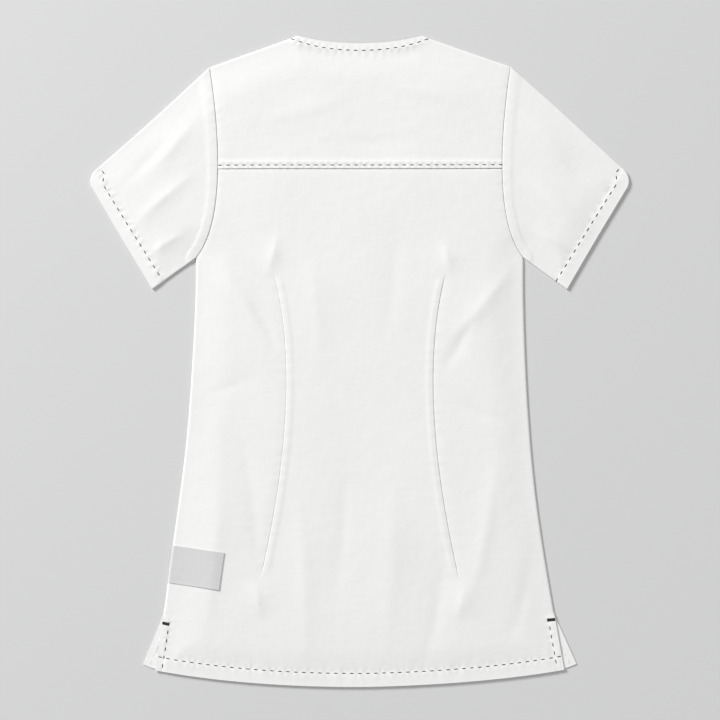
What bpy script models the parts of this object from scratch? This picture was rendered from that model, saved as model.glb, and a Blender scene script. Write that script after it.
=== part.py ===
"""A short-sleeved scrub top, lying face down on a level surface with its panels on each other.

Metres, +Z up. The neck points to +Y, the back is uppermost and the wearer's left side is at -X.
The origin is on the surface, under the middle of the garment's length and width.
"""

import math
from functools import lru_cache

import bmesh
import bpy
import numpy as np
from mathutils import Vector

# Cloth and seams
WALL = 0.0010  # thickness of a piece of cloth
GAP = 0.0003  # room between two pieces at a seam
RIM = WALL + GAP / 2  # outer radius of the turn where a sleeve's upper side becomes its lower side
PUFF = 0.0020  # how far the upper cloth stands off the lower one, away from the edges
PUFF_RUN = 0.045  # distance from an edge at which it does so
RAISE = 0.0005  # what a turned hem or a pressed seam allowance adds on the outside
STEP = 0.0012  # width of the slope at the inner edge of a raised band

# Curves of the right half, each a cubic curve: x from the centre line, y from the middle of the length
#           start              handle              handle              end
NECK = ((0.0000, 0.3816), (0.0403, 0.3824), (0.0502, 0.3852), (0.0744, 0.3905))
ARMHOLE = ((0.1804, 0.3530), (0.1746, 0.3150), (0.1543, 0.1741), (0.1963, 0.1246))
SIDE = ((0.1963, 0.1246), (0.1948, -0.0423), (0.2170, -0.2078), (0.2452, -0.3701))
DART = ((0.1027, 0.1057), (0.0749, -0.0014), (0.0899, -0.1348), (0.1186, -0.2591))
HEM = ((0.0000, -0.3905), (0.0810, -0.3900), (0.1660, -0.3850), (0.2452, -0.3701))

# Levels along the length
TOP = NECK[3][1]  # the neck points, where neck and shoulder meet
SHOULDER_Y = ARMHOLE[0][1]
YOKE_SEAM = 0.2311
UNDERARM_Y = ARMHOLE[3][1]
VENT_TOP = -0.3035

# Bands of turned or doubled cloth, and the dart's fold
NECK_BAND = 0.0089
YOKE_STITCH = 0.0044
YOKE_BAND = 0.0090
HEM_BAND = 0.0163
VENT_BAND = 0.0082
ARMHOLE_BAND = 0.0100
DART_FOLD = 0.0090

# The front's vent flap swings out past the back, and its hem lies just inside the back's
FLAP_CORNER = (0.2600, -0.3631)
HEM_SHY = 0.0008

# Sleeve
CUFF_CORNER = Vector((0.3277, 0.2202))  # where the overarm fold and the cuff would meet, unrounded
CUFF_END = Vector((0.2484, 0.0867))  # where the underarm seam meets the cuff
CORNER_RADIUS = 0.0175
SLEEVE_HEM = 0.0150
CORNER_LEAN = math.radians(45)  # most that the fold turns with the rounded corner

# Label, caught in the wearer's left side seam
LABEL_LONG = 0.062
LABEL_HIGH = 0.045
LABEL_Y = -0.2435

# Rows that meet the armhole, shared by the body and the sleeves
YOKE_LEVELS = np.linspace(YOKE_SEAM, SHOULDER_Y, 6)
LOWER_LEVELS = np.linspace(UNDERARM_Y, YOKE_SEAM, 8)
ARM_LEVELS = np.concatenate([LOWER_LEVELS, YOKE_LEVELS[1:]])
SIDE_LEVELS = np.linspace(VENT_TOP, UNDERARM_Y, 15)
V_LEVEL = LOWER_LEVELS[5]  # bottom of the front's V neck


def cubic(curve, t):
    """Point at parameter t of a cubic curve, and the unit direction there."""
    a, b, c, d = (Vector(point) for point in curve)
    s = 1 - t
    point = a * s**3 + b * 3 * s * s * t + c * 3 * s * t * t + d * t**3
    heading = (b - a) * s * s + (c - b) * 2 * s * t + (d - c) * t * t
    return point, heading.normalized()


@lru_cache
def sampled(curve, count):
    """Points at even steps of the curve's parameter."""
    return [cubic(curve, k / count)[0] for k in range(count + 1)]


def parameter(curve, value, axis):
    """Parameter at which the curve reaches a value of x (axis 0) or y (axis 1)."""
    values = [point[axis] for point in sampled(curve, 200)]
    steps = np.linspace(0, 1, len(values))
    if values[0] > values[-1]:
        return float(np.interp(value, values[::-1], steps[::-1]))
    return float(np.interp(value, values, steps))


def at_level(curve, y):
    """Distance of the curve from the centre line at height y."""
    return cubic(curve, parameter(curve, y, 1))[0].x


def at_width(curve, x):
    """Height of the curve at distance x from the centre line."""
    return cubic(curve, parameter(curve, x, 0))[0].y


def armhole(y, shift):
    """Point of the armhole seam at height y, shifted towards the sleeve."""
    point, heading = cubic(ARMHOLE, parameter(ARMHOLE, y, 1))
    return point + Vector((-heading.y, heading.x)) * shift


SHOULDER = Vector(ARMHOLE[0])
UNDERARM = Vector(ARMHOLE[3])
FOLD_RUN = (CUFF_CORNER - SHOULDER).normalized()
CUFF_RUN = (CUFF_END - CUFF_CORNER).normalized()
UNDERARM_RUN = (CUFF_END - UNDERARM).normalized()
CUFF_OUT = Vector((-CUFF_RUN.y, CUFF_RUN.x))
UNDERARM_OUT = Vector((UNDERARM_RUN.y, -UNDERARM_RUN.x))
CORNER_TURN = FOLD_RUN.angle(CUFF_RUN)


def fold_point(inset):
    """Point of the overarm fold at this distance in from the cuff, and the way its turn faces."""
    tangent = CORNER_RADIUS * math.tan(CORNER_TURN / 2)
    rounded = CORNER_RADIUS * (1 - math.cos(CORNER_TURN))
    if inset >= rounded:
        angle = CORNER_TURN
        point = CUFF_CORNER - FOLD_RUN * (inset / FOLD_RUN.dot(CUFF_OUT))
    else:
        angle = math.acos(1 - inset / CORNER_RADIUS)
        arc_end = CUFF_CORNER + CUFF_RUN * tangent
        point = arc_end - CUFF_RUN * (CORNER_RADIUS * math.sin(angle)) - CUFF_OUT * inset
    lean = max(angle, CORNER_TURN - CORNER_LEAN)
    return point, CUFF_OUT * math.cos(lean) - CUFF_RUN * math.sin(lean)


def underarm_point(inset):
    """Point of the underarm seam at this distance in from the cuff."""
    return CUFF_END - UNDERARM_RUN * (inset / UNDERARM_RUN.dot(CUFF_OUT))


def outline():
    """The garment's edge on its right half, from the back neck round to the middle of the hem."""
    corner = [fold_point(inset)[0] for inset in np.linspace(SLEEVE_HEM, 0, 12)]
    points = sampled(NECK, 12) + [SHOULDER] + corner + [CUFF_END]
    return np.array(points + sampled(SIDE, 24) + sampled(HEM, 16)[::-1])


OUTLINE = outline()


def underside(x, y):
    """Height of the upper cloth's underside: close to the lower cloth at the edges, standing off it inside."""
    here = np.array((abs(x), y))
    start = OUTLINE[:-1]
    run = OUTLINE[1:] - start
    square = np.maximum((run * run).sum(axis=1), 1e-12)
    share = np.clip(((here - start) * run).sum(axis=1) / square, 0, 1)
    nearest = np.hypot(*(start + run * share[:, None] - here).T).min()
    rise = min(nearest / PUFF_RUN, 1)
    return WALL + GAP + PUFF * rise * rise * (3 - 2 * rise)


def finish(name, colour, roughness):
    """A woven cloth's material."""
    material = bpy.data.materials.new(name)
    material.use_nodes = True
    shader = material.node_tree.nodes["Principled BSDF"]
    shader.inputs["Base Color"].default_value = (*colour, 1)
    shader.inputs["Roughness"].default_value = roughness
    shader.inputs["Metallic"].default_value = 0
    return material


def cloth(name, columns, rows, place, colour, half=False, ring=False, side=1):
    """A wall of cloth. A flat grid is given its second face, then each point goes where place says.

    place(column, row) returns a point of the inner face and one of the outer face. A half piece is mirrored
    over the centre line before it gets its wall, and a ring's last column is its first.
    """
    bm = bmesh.new()
    bmesh.ops.create_grid(bm, x_segments=columns - 1, y_segments=rows - 1, size=0.5)
    column_of = bm.verts.layers.int.new("column")
    row_of = bm.verts.layers.int.new("row")
    side_of = bm.verts.layers.int.new("side")
    outer_of = bm.verts.layers.int.new("outer")
    for vert in bm.verts:
        vert[column_of] = round((vert.co.x + 0.5) * (columns - 1))
        vert[row_of] = round((vert.co.y + 0.5) * (rows - 1))
        vert[side_of] = side
        if ring:
            angle = math.tau * vert[column_of] / (columns - 1)
            vert.co = (math.cos(angle), math.sin(angle), vert[row_of])
        elif half:
            vert.co = place(vert[column_of], vert[row_of])[0]
    if ring:
        bmesh.ops.remove_doubles(bm, verts=bm.verts[:], dist=1e-5)
    if half:
        bmesh.ops.mirror(bm, geom=bm.verts[:] + bm.edges[:] + bm.faces[:], axis="X", merge_dist=1e-5)
        for vert in bm.verts:
            vert[side_of] = -1 if vert.co.x < 0 else 1
    grown = bmesh.ops.extrude_face_region(bm, geom=bm.faces[:])["geom"]
    for item in grown:
        if isinstance(item, bmesh.types.BMVert):
            item[outer_of] = 1
    for vert in bm.verts:
        point = place(vert[column_of] % (columns - ring), vert[row_of])[vert[outer_of]]
        vert.co = (point.x * vert[side_of], point.y, point.z)
    bmesh.ops.recalc_face_normals(bm, faces=bm.faces[:])
    mesh = bpy.data.meshes.new(name)
    bm.to_mesh(mesh)
    bm.free()
    mesh.shade_smooth()
    mesh.set_sharp_from_angle(angle=math.radians(40))
    mesh.materials.append(finish(name + "_cloth", colour, 0.8))
    thing = bpy.data.objects.new(name, mesh)
    GARMENT.objects.link(thing)
    return thing


def faces(x, y, raised=0.0):
    """Inner and outer point of the upper cloth at one place."""
    low = underside(x, y)
    return Vector((x, y, low)), Vector((x, y, low + WALL + raised))


# Back yoke: columns are shares of the half width, rows are a share of the way up and an offset from it
NECK_SHARE = NECK[3][0] / SHOULDER.x
NECK_END_SHARE = NECK_SHARE + NECK_BAND / SHOULDER.x
YOKE_COLUMNS = [0, NECK_SHARE / 3, NECK_SHARE * 2 / 3, NECK_SHARE, NECK_END_SHARE, 0.6, 0.75, 0.9, 1]
YOKE_ROWS = [
    # share, offset, raised by the seam, raised by the neck
    (0, GAP / 2, 1, 0),
    (0, YOKE_STITCH, 1, 0),
    (0, YOKE_BAND, 0, 0),
    *[((level - YOKE_SEAM) / (SHOULDER_Y - YOKE_SEAM), 0, 0, 0) for level in YOKE_LEVELS[1:-1]],
    (1, -NECK_BAND - STEP, 0, 0),
    (1, -NECK_BAND, 0, 1),
    (1, 0, 0, 1),
]


def yoke_place(column, row):
    share, offset, seam, neck = YOKE_ROWS[row]
    across = YOKE_COLUMNS[column]
    edge = armhole(YOKE_SEAM + (SHOULDER_Y - YOKE_SEAM) * share + offset, -GAP / 2)
    if across <= NECK_SHARE:
        top = at_width(NECK, across * SHOULDER.x)
    else:
        top = TOP + (SHOULDER_Y - TOP) * (across - NECK_SHARE) / (1 - NECK_SHARE)
    y = edge.y if across == 1 else YOKE_SEAM + (top - YOKE_SEAM) * share + offset
    raised = RAISE * (seam or (neck and across <= NECK_SHARE))
    return faces(edge.x * across, y, raised)


# Back panel: rows are a level, a share of the way from there to the hem, an offset and whether it is hem
BACK_ROWS = [(VENT_TOP, 1, 0, 1), (VENT_TOP, 1, HEM_BAND / 2, 1), (VENT_TOP, 1, HEM_BAND, 1)]
BACK_ROWS += [(VENT_TOP, 1, HEM_BAND + STEP, 0), (VENT_TOP, 0.45, 0, 0)]
BACK_ROWS += [(level, 0, 0, 0) for level in [*SIDE_LEVELS, *LOWER_LEVELS[1:-1], YOKE_SEAM - GAP / 2]]
# Columns are a share of the way from one line to the next, and an offset: centre, dart fold, dart, edge
BACK_COLUMNS = [("centre", share) for share in (0, 0.25, 0.5, 0.75, 1)]
BACK_COLUMNS += [("dart", offset) for offset in (-DART_FOLD / 2, 0, DART_FOLD / 3)]
BACK_COLUMNS += [("middle", share) for share in (1 / 3, 2 / 3)]
BACK_COLUMNS += [("edge", offset) for offset in (0.045, 0.030, 0.018, VENT_BAND + STEP, VENT_BAND, 0)]


def body_edge(y):
    """Point of the body's edge at height y: the armhole above the underarm, the side seam below it."""
    if y >= UNDERARM_Y:
        return armhole(y, -GAP / 2)
    return Vector((at_level(SIDE, y), y))


def back_place(column, row):
    level, share, offset, hem = BACK_ROWS[row]
    edge = body_edge(level + (HEM[3][1] - level) * share + offset)
    dart = at_level(DART, edge.y)
    line, amount = BACK_COLUMNS[column]
    if line == "centre":
        x = (dart - DART_FOLD) * amount
    elif line == "dart":
        x = dart + amount
    elif line == "middle":
        inner = dart + DART_FOLD / 3
        x = inner + (edge.x - 0.045 - inner) * amount
    else:
        x = edge.x - amount
    y = level + (at_width(HEM, x / edge.x * HEM[3][0]) - level) * share + offset
    if x == edge.x:
        y = edge.y
    above = (y - DART[3][1]) / (DART[0][1] - DART[3][1])
    fold = line == "dart" and amount < 0 and 0 < above < 1
    vent = line == "edge" and amount <= VENT_BAND and y < VENT_TOP
    raised = RAISE * max(hem, vent, math.sin(math.pi * above) * fold)
    return faces(x, y, raised)


# Front panel: rows follow the body's edge up to the shoulder, columns are shares of the way out
FRONT_COLUMNS = (0, 0.2, 0.4, 0.6, 0.8, HEM[3][0] / FLAP_CORNER[0], 1)
FRONT_ROWS = [(VENT_TOP, 1), (VENT_TOP, 0.5)]
FRONT_ROWS += [(level, 0) for level in [*SIDE_LEVELS, *ARM_LEVELS[1:]]]


def front_hem(x):
    """Height of the front's hem: just inside the back's, then straight to the flap's corner."""
    if x <= HEM[3][0]:
        return at_width(HEM, x) + HEM_SHY
    inner = HEM[3][1] + HEM_SHY
    return inner + (FLAP_CORNER[1] - inner) * (x - HEM[3][0]) / (FLAP_CORNER[0] - HEM[3][0])


def front_place(column, row):
    level, share = FRONT_ROWS[row]
    across = FRONT_COLUMNS[column]
    edge = body_edge(level)
    if share:
        edge = edge.lerp(Vector(FLAP_CORNER), share)
        x = edge.x * across
        y = level + (front_hem(FLAP_CORNER[0] * across) - level) * share
    else:
        open_share = max(level - V_LEVEL, 0) / (SHOULDER_Y - V_LEVEL)
        neck = Vector((NECK[3][0] * open_share**0.9, level + (TOP - SHOULDER_Y) * open_share))
        x, y = neck.lerp(edge, across)
    return Vector((x, y, WALL)), Vector((x, y, 0))


# Sleeve: rows go out from the armhole, columns go round
SLEEVE_ROWS = [("armhole", 0), ("armhole", ARMHOLE_BAND / 2), ("armhole", ARMHOLE_BAND)]
SLEEVE_ROWS += [("middle", share) for share in (0.2, 0.4, 0.6, 0.8, 1)]
SLEEVE_ROWS += [("cuff", SLEEVE_HEM), ("cuff", 0.0084), ("cuff", 0.0038), ("cuff", 0.0009), ("cuff", 0)]
LAST = len(ARM_LEVELS) - 1
TURN = [math.radians(angle) for angle in (45, 0, -45)]
RING = [("upper", station) for station in range(LAST, -1, -1)]
RING += [("underarm", angle) for angle in TURN]
RING += [("lower", station) for station in range(LAST + 1)]
RING += [("fold", -angle) for angle in TURN]
ARM_POINTS = [armhole(level, GAP / 2) for level in ARM_LEVELS]
ARM_STEPS = [(b - a).length for a, b in zip(ARM_POINTS, ARM_POINTS[1:])]
ARM_SHARES = [sum(ARM_STEPS[:station]) / sum(ARM_STEPS) for station in range(LAST + 1)]


def sleeve_plan(station, row):
    """Where a station of the ring lies in plan, and the way the turn faces there at the two edges."""
    line, amount = SLEEVE_ROWS[row]
    inset = amount if line == "cuff" else SLEEVE_HEM + STEP
    fold, fold_out = fold_point(inset)
    out = {LAST: fold_out, 0: UNDERARM_OUT}.get(station)
    point = underarm_point(inset).lerp(fold, ARM_SHARES[station])
    if line == "cuff":
        return point, out
    start = ARM_POINTS[station]
    if line == "middle":
        return (start + (point - start).normalized() * ARMHOLE_BAND).lerp(point, amount), out
    if amount == 0 and station in (0, LAST):
        heading = cubic(ARMHOLE, 1 if station == 0 else 0)[1]
        out = heading if station == 0 else -heading
    return start + (point - start).normalized() * amount, out


def sleeve_place(column, row):
    kind, amount = RING[column]
    station = {"fold": LAST, "underarm": 0}.get(kind, amount)
    point, out = sleeve_plan(station, row)
    if out:
        point = point - out * RIM
    line, offset = SLEEVE_ROWS[row]
    banded = line == "cuff" or (line == "armhole" and offset < ARMHOLE_BAND)
    inner, outer = faces(point.x, point.y, RAISE * banded)
    if kind == "upper":
        return inner, outer
    if kind == "lower":
        return Vector((point.x, point.y, WALL)), Vector((point.x, point.y, 0))
    reach = Vector((*out, 0)) * math.cos(amount)
    rise = math.sin(amount)
    inner_z = (inner.z + WALL) / 2 + (inner.z - WALL) / 2 * rise
    outer_z = outer.z / 2 * (1 + rise)
    plan = Vector((point.x, point.y, 0))
    up = Vector((0, 0, 1))
    return plan + reach * (GAP / 2) + up * inner_z, plan + reach * RIM + up * outer_z


# Label: a flat rectangle square to the seam, whose outer edge is in the seam
LABEL_COLUMNS = 9
LABEL_ROWS = 6


def label_place(column, row):
    seam, heading = cubic(SIDE, parameter(SIDE, LABEL_Y, 1))
    inward = Vector((heading.y, -heading.x))
    start = seam + inward * GAP + heading * LABEL_HIGH * (0.5 - row / (LABEL_ROWS - 1))
    point = start + inward * LABEL_LONG * (column / (LABEL_COLUMNS - 1))
    low = underside(point.x, point.y) + WALL + GAP
    return Vector((point.x, point.y, low)), Vector((point.x, point.y, low + WALL))


for old in list(bpy.data.objects):
    bpy.data.objects.remove(old, do_unlink=True)
GARMENT = bpy.data.collections.new("scrub_top")
bpy.context.scene.collection.children.link(GARMENT)
WHITE = (0.88, 0.88, 0.87)
LIGHT_GREY = (0.70, 0.70, 0.70)

cloth("back_yoke", len(YOKE_COLUMNS), len(YOKE_ROWS), yoke_place, WHITE, half=True)
cloth("back_panel", len(BACK_COLUMNS), len(BACK_ROWS), back_place, WHITE, half=True)
cloth("front_panel", len(FRONT_COLUMNS), len(FRONT_ROWS), front_place, WHITE, half=True)
cloth("sleeve_left", len(RING) + 1, len(SLEEVE_ROWS), sleeve_place, WHITE, ring=True, side=-1)
cloth("sleeve_right", len(RING) + 1, len(SLEEVE_ROWS), sleeve_place, WHITE, ring=True, side=1)
cloth("side_label", LABEL_COLUMNS, LABEL_ROWS, label_place, LIGHT_GREY, side=-1)
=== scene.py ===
# %% [markdown]
# # A scrub top, spread flat with its back up
#
# The real thing is a short-sleeved white top of thin, tightly woven poly-cotton, sewn from five cut pieces:
# a back yoke, a back panel with two long darts, one front panel and two set-in sleeves. A blank tab is
# caught in the wearer's left side seam. It lies face down, so the front shows only at the side vents.
#
# The solids of the model give each piece its place and rough form. This script dresses them: each solid is
# replaced by a thin shell of cloth with rolled edges, turned hems and slack, and is then sewn with real
# stitches. It could be done with a cloth simulation, but a pressed garment on a table hardly moves, so the
# form is given directly: every point gets a height worked out from how far it is from the nearest edge or
# seam.

# %% Load the solids
import math
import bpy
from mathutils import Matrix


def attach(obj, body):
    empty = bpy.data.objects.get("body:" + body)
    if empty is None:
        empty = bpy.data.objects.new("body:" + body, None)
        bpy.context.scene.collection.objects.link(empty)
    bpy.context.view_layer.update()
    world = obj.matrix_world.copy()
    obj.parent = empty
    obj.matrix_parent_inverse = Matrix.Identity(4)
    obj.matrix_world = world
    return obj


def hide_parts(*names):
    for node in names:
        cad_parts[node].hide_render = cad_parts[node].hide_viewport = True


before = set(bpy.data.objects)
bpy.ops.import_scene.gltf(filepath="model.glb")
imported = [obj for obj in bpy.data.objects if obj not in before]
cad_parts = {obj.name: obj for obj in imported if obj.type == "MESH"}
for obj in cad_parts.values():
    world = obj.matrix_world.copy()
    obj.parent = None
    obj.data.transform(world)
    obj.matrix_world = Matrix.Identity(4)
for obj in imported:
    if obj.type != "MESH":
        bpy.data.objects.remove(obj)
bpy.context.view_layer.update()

import bmesh
import bpy
import numpy as np
from mathutils import Matrix, Vector, noise
from mathutils.bvhtree import BVHTree

MM = 0.001

# %% [markdown]
# ## The camera
#
# The garment is seen from straight above, as on a cutting table, with its neck at the top of the picture. A
# long lens from 2.4 m keeps the view nearly free of perspective, as a drawing is. The distance follows from
# the lens: at 2.4 m it frames 864 mm, a tenth more than the garment is long. A small helper puts the camera
# in the scene, and later each light and piece of cloth.

# %% Camera
def placed(name, data):
    """A new object in the scene, made of a camera, a light or a mesh."""
    thing = bpy.data.objects.new(name, data)
    bpy.context.collection.objects.link(thing)
    return thing


camera_data = bpy.data.cameras.new("overhead")
camera_data.lens = 100
camera_data.sensor_width = 36
camera_data.clip_end = 20
camera = placed("overhead", camera_data)
camera.location = (0.0002, 0.0019, 2.4)  # over the middle of the picture, 2 mm off the garment's own
bpy.context.scene.camera = camera
print("framed width, mm:", round(camera.location.z * camera_data.sensor_width / camera_data.lens / MM))

# %% [markdown]
# ## Lines of the pattern
#
# A pattern maker draws a garment as a few curves: neck, armhole, side seam, dart and hem. Here each is one
# cubic curve on the right half, given by its ends and its two handles. The same curves shape the solids, so
# every shell lands on its own solid. Each is read as 200 points, which is finer than any grid below.

# %% Pattern curves
CURVES = {
    # start, handle, handle, end: x from the centre line, y from the middle of the length, in metres
    "neck": ((0.0000, 0.3816), (0.0403, 0.3824), (0.0502, 0.3852), (0.0744, 0.3905)),
    "armhole": ((0.1963, 0.1246), (0.1543, 0.1741), (0.1746, 0.3150), (0.1804, 0.3530)),
    "side": ((0.2452, -0.3701), (0.2170, -0.2078), (0.1948, -0.0423), (0.1963, 0.1246)),
    "dart": ((0.1186, -0.2591), (0.0899, -0.1348), (0.0749, -0.0014), (0.1027, 0.1057)),
    "hem": ((0.0000, -0.3905), (0.0810, -0.3900), (0.1660, -0.3850), (0.2452, -0.3701)),
    "neck stitches": ((0.0000, 0.3731), (0.0360, 0.3733), (0.0600, 0.3785), (0.0829, 0.3874)),
}


def read_curve(ends_and_handles, count=200):
    """Points along a cubic curve."""
    a, b, c, d = (np.array(point) for point in ends_and_handles)
    t = np.linspace(0, 1, count)[:, None]
    return a * (1 - t) ** 3 + b * 3 * (1 - t) ** 2 * t + c * 3 * (1 - t) * t**2 + d * t**3


LINE = {name: read_curve(points) for name, points in CURVES.items()}


def x_of(name, y):
    """Distance from the centre line to one of these lines at each height y in plan."""
    return np.interp(y, *LINE[name].T[::-1])


NECK_POINT = LINE["neck"][-1]
UNDERARM, SHOULDER = LINE["armhole"][[0, -1]]
HEM_CORNER = LINE["hem"][-1]
print("back length, mm:", round((NECK_POINT[1] - LINE["hem"][0, 1]) / MM))

# %% [markdown]
# The sleeve has straight edges and one rounded corner, where the hem is cut back to let the arm through.
# Two helpers give the points on its overarm fold and on its underarm seam by their distance from the cuff.

# %% Sleeve outline
CUFF_CORNER = np.array((0.3277, 0.2202))  # where the fold and the cuff would meet, unrounded
CUFF_END = np.array((0.2484, 0.0867))  # where the underarm seam meets the cuff
CORNER_RADIUS = 17.5 * MM


def unit(vector):
    """The same direction with a length of 1."""
    return vector / np.linalg.norm(vector)


FOLD_RUN = unit(CUFF_CORNER - SHOULDER)
CUFF_RUN = unit(CUFF_END - CUFF_CORNER)
CUFF_OUT = np.array((-CUFF_RUN[1], CUFF_RUN[0]))
UNDERARM_RUN = unit(CUFF_END - UNDERARM)
UNDERARM_OUT = np.array((UNDERARM_RUN[1], -UNDERARM_RUN[0]))
CORNER_TURN = math.acos(FOLD_RUN @ CUFF_RUN)


def fold_point(inset):
    """Point of the overarm fold this far in from the cuff, and the way the fold faces there."""
    if inset >= CORNER_RADIUS * (1 - math.cos(CORNER_TURN)):
        angle = CORNER_TURN
        point = CUFF_CORNER - FOLD_RUN * inset / (FOLD_RUN @ CUFF_OUT)
    else:
        angle = math.acos(1 - inset / CORNER_RADIUS)
        arc_end = CUFF_CORNER + CUFF_RUN * CORNER_RADIUS * math.tan(CORNER_TURN / 2)
        point = arc_end - CUFF_RUN * CORNER_RADIUS * math.sin(angle) - CUFF_OUT * inset
    return point, CUFF_OUT * math.cos(angle) - CUFF_RUN * math.sin(angle)


def underarm_point(inset):
    """Point of the underarm seam this far in from the cuff."""
    return CUFF_END - UNDERARM_RUN * inset / (UNDERARM_RUN @ CUFF_OUT)


print("sleeve hem turns through, degrees:", round(math.degrees(CORNER_TURN)))

# %% [markdown]
# ## Thicknesses
#
# Poplin for uniforms is about a third of a millimetre thick. It is drawn at half a millimetre, so its edge
# still shows from a step away, and a turned hem at nearly a millimetre, because it has three layers. The
# front starts a little above the table, which leaves room for the stitches on its outer face.

# %% Cloth, hems and seams
CLOTH = 0.50 * MM
HEM_THICK = 0.90 * MM
FRONT_BASE = 0.25 * MM  # the front's outer face, which is underneath
BAND_RISE = 0.45 * MM  # what a hem or a pressed seam allowance adds
BAND_STEP = 1.6 * MM  # width of the slope at the inner edge of a band
SEAM_ROLL = 1.2 * MM  # how far from the line of a seam the cloth dips
SEAM_DIP = 0.85 * MM
SEAM_DENT, SEAM_DENT_REACH = 0.25 * MM, 3.5 * MM  # the shallow dent round the dip
STITCH_DENT, STITCH_DENT_REACH = 0.28 * MM, 1.1 * MM  # a row of stitches pulls the cloth down

# Widths of the turned bands. Each is sewn along its inner edge.
NECK_BAND = 8.9 * MM
HEM_BAND = 16.3 * MM
VENT_BAND = 8.2 * MM
SLEEVE_HEM = 16.0 * MM
print("cloth and hem are thick, mm:", CLOTH / MM, HEM_THICK / MM)

# %% [markdown]
# All relief is built from four simple falls: an even S, the flat top of a band with its step, the quarter
# circle of a rolled edge and the soft bell of a dent. Each is a function of the distance from a line.

# %% Falls from a line
def smooth(value):
    """0 below 0, 1 above 1 and an even S between them."""
    value = np.clip(value, 0, 1)
    return value * value * (3 - 2 * value)


def turned(distance, width):
    """1 within a band of that width along an edge, falling to 0 just past it."""
    return 1 - smooth((distance - width) / BAND_STEP)


def rolled(distance, radius):
    """1 at an edge, falling to 0 at that radius along a quarter circle."""
    return 1 - np.sqrt(1 - np.clip(1 - distance / radius, 0, 1) ** 2)


def bell(distance, reach):
    """1 on a line, falling softly to nearly nothing at twice that reach."""
    return np.exp(-((distance / reach) ** 2))


def groove(distance):
    """How far the cloth dips at a sewn seam: a sharp roll in a wide, shallow dent."""
    return SEAM_DIP * rolled(distance, SEAM_ROLL) + SEAM_DENT * bell(distance, SEAM_DENT_REACH)


def sewn_dent(distance):
    """How far a line of stitches pulls the cloth down."""
    return STITCH_DENT * bell(distance, STITCH_DENT_REACH)


print("a hem in section, mm:", [round(float(turned(d * MM, HEM_BAND)), 2) for d in (0, 16, 17, 18)])

# %% [markdown]
# ## How far is a point from an edge?
#
# Nearly all the form comes from this one question, so it gets one helper. For each point it finds the
# nearest place on a line of short straight runs, and says how far off it is and how far along it lies. The
# first drives rolled edges and bands, the second the ripples that run along a seam.

# %% Distance helper
def nearest(line, x, y):
    """Distance of each point from a line, and how far along the line its nearest place is."""
    here = np.stack([x, y], axis=-1)[..., None, :]
    run = np.diff(line, axis=0)
    length = np.maximum(np.linalg.norm(run, axis=1), 1e-9)
    share = np.clip(((here - line[:-1]) * run).sum(-1) / length**2, 0, 1)
    off = np.linalg.norm(line[:-1] + share[..., None] * run - here, axis=-1)
    best = off.argmin(-1)[..., None]
    before = np.concatenate([[0], np.cumsum(length)[:-1]])
    along = before[best] + length[best] * np.take_along_axis(share, best, -1)
    return np.take_along_axis(off, best, -1)[..., 0], along[..., 0]


def lengths(line):
    """How far along a line each of its points is."""
    return np.concatenate([[0], np.cumsum(np.linalg.norm(np.diff(line, axis=0), axis=1))])


def thinned(line, step=8):
    """Every few points of a line, with its last one."""
    return np.vstack([line[:-1:step], line[-1]])


def both_halves(line):
    """A line of the right half, with its mirror image before it."""
    return np.vstack([(line * (-1, 1))[::-1], line[1:]])


print("armhole length, mm:", round(lengths(LINE["armhole"])[-1] / MM))

# %% Edges of the garment
VENT_TOP = -0.3035  # y where the side seam ends
on_side = LINE["side"][:, 1] >= VENT_TOP
VENT_EDGE = thinned(LINE["side"][~on_side])
corner_arc = [fold_point(inset)[0] for inset in np.linspace(SLEEVE_HEM, 0, 12)]
CLOSED_EDGES = [
    np.array([NECK_POINT, SHOULDER, *corner_arc]),
    np.vstack([CUFF_END, thinned(LINE["side"][on_side][::-1])]),
]
FREE_EDGES = [
    thinned(LINE["neck"], 16),
    np.array([corner_arc[-1], CUFF_END]),
    VENT_EDGE,
    thinned(LINE["hem"], 16),
]


def from_edges(edges, x, y):
    """Distance from the nearest of several edges, which are the same on both sides of the garment."""
    return np.min([nearest(edge, np.abs(x), y)[0] for edge in edges], axis=0)


print("points in the outline of one half:", sum(len(edge) for edge in CLOSED_EDGES + FREE_EDGES))
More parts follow.
